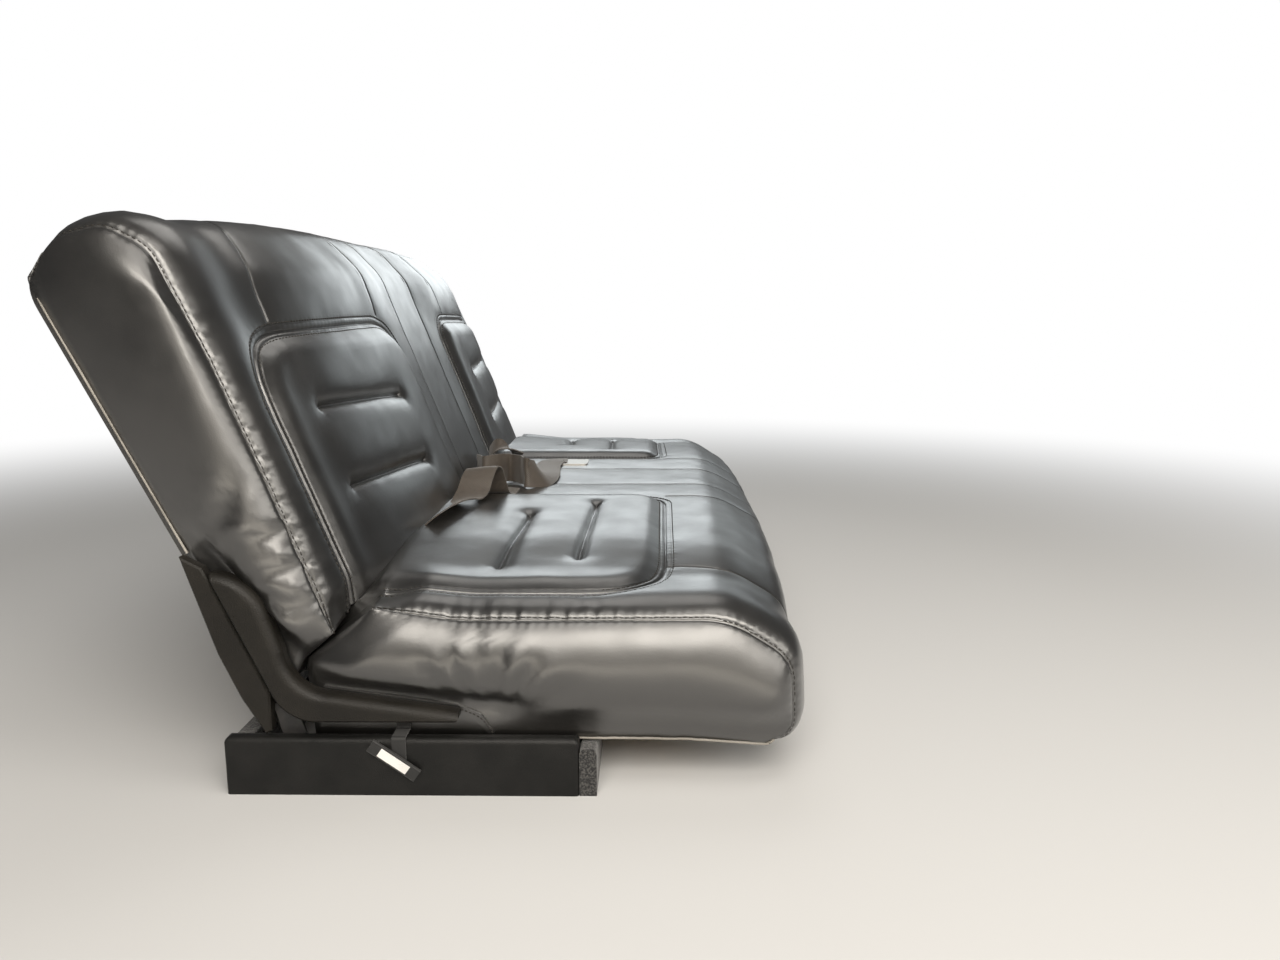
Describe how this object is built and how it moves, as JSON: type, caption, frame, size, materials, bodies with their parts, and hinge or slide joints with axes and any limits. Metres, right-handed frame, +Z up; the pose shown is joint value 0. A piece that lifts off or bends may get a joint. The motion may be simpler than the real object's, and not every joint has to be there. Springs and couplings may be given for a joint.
{
  "type": "limousine bench seat",
  "caption": "Leather-covered limousine bench seat with padded inserts, moulded side shields and lap belts, lifting off a low box base.",
  "frame": {"origin": "on the floor, in the middle of the four floor bolts", "axes": "+Z up, +X along the bench, -Y towards the front of the cushion"},
  "size_m": [1.4158, 0.8276, 0.607],
  "materials": {
    "leather": "semi-gloss black leather, fine grain",
    "vinyl": "satin black vinyl over board",
    "carpet": "dark grey cut-pile carpet over board",
    "plywood": "unpainted plywood",
    "steel": "satin black painted steel",
    "moulding": "grained dark grey moulded plastic",
    "belt": "taupe woven webbing",
    "tongue_steel": "polished stamped steel",
    "strap": "black webbing",
    "tag": "blank white tag"
  },
  "bodies": {
    "base": {"base_side_board_left": "vinyl", "base_side_board_right": "vinyl", "riser_front_board": "carpet", "riser_rear_board": "carpet", "riser_bearer_left": "plywood", "riser_bearer_right": "plywood", "floor_bracket_front_left": "steel", "floor_bracket_front_right": "steel", "floor_bracket_rear_left": "steel", "floor_bracket_rear_right": "steel", "leg_striker_left": "steel", "leg_striker_right": "steel"},
    "seat": {"seat_deck": "plywood", "cushion": "leather", "cushion_hem_left": "leather", "cushion_hem_right": "leather", "backrest": "leather", "rear_panel": "vinyl", "side_plate_left": "steel", "side_plate_right": "steel", "side_shield_left": "moulding", "side_shield_right": "moulding", "rear_shield_left": "moulding", "rear_shield_right": "moulding", "belt_webbing_near": "belt", "belt_webbing_far": "belt", "belt_tongue_far": "tongue_steel", "release_strap": "strap", "release_handle": "strap", "release_tag": "tag"}
  },
  "joints": [
    {"name": "seat_release", "type": "slide", "parent": "base", "child": "seat", "axis": [0, 0, 1], "range_m": [0, 0.12]}
  ]
}
